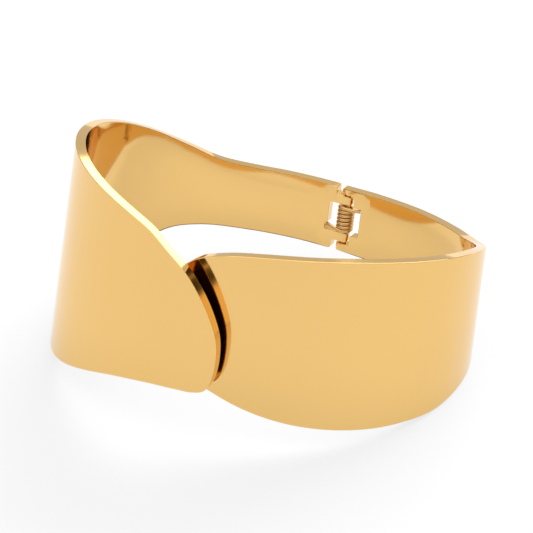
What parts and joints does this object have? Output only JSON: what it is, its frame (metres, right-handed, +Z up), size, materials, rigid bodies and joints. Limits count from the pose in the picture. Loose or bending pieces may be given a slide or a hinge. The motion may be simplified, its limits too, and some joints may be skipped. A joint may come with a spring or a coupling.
{
  "type": "hinged cuff bracelet",
  "caption": "Polished gold-tone hinged cuff: two curved half shells on a sprung hinge, the wide left half overlapping the right half at the front.",
  "frame": {"origin": "centre of the bracelet's outer box, at the level of the surface that it lies on", "axes": "+Z up, +Y towards the hinge behind, +X towards the right half; the ring's own axis leans 11.3 degrees back and 3.9 degrees right of +Z, as it lies at rest"},
  "size_m": [0.0642, 0.0554, 0.0337],
  "materials": {
    "polished_gold": "mirror-polished yellow gold plating",
    "pin_gold": "polished gold-tone pin",
    "spring_gold": "drawn gold-tone wire, slightly dull"
  },
  "bodies": {
    "left_half": {"left_cuff": "polished_gold", "hinge_pin": "pin_gold", "hinge_spring": "spring_gold"},
    "right_half": {"right_cuff": "polished_gold"}
  },
  "joints": [
    {"name": "cuff_hinge", "type": "hinge", "parent": "left_half", "child": "right_half", "pos_m": [0.00028, 0.02593, 0.00685], "axis": [0.068, 0.1955, 0.9783], "range_deg": [0, 65], "stiffness_Nm_per_rad": 0.01, "springref_deg": -57.3, "deforming": ["hinge_spring"]}
  ]
}
